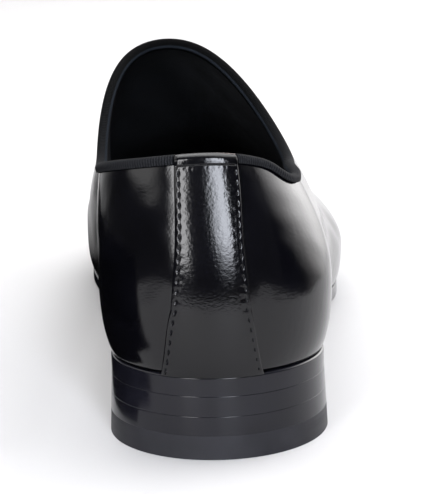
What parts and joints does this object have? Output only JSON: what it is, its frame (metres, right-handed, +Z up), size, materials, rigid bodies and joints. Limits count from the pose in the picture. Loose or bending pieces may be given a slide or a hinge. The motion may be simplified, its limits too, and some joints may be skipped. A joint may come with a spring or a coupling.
{
  "type": "slip-on loafer",
  "caption": "Black polished leather slip-on loafer for the right foot, plain high vamp, ribbon-bound topline, heel strip with a turned tab, close-cut sole and stacked heel.",
  "frame": {"origin": "middle of the shoe's outline, on the floor that it stands on", "axes": "+Y from heel to toe, +X to the outer side of the foot, +Z up"},
  "size_m": [0.1036, 0.3022, 0.1122],
  "materials": {
    "upper_leather": "polished",
    "strip_leather": "polished",
    "ribbon": "ribbed",
    "insole_lining": "matte",
    "sole_leather": "satin",
    "heel_leather": "satin",
    "top_piece_rubber": "matte"
  },
  "bodies": {
    "root": {"upper": "upper_leather", "heel_strip": "strip_leather", "collar_binding": "ribbon", "insole": "insole_lining", "outsole": "sole_leather", "heel_lift_upper": "heel_leather", "heel_lift_lower": "heel_leather", "top_piece": "top_piece_rubber"}
  },
  "joints": []
}
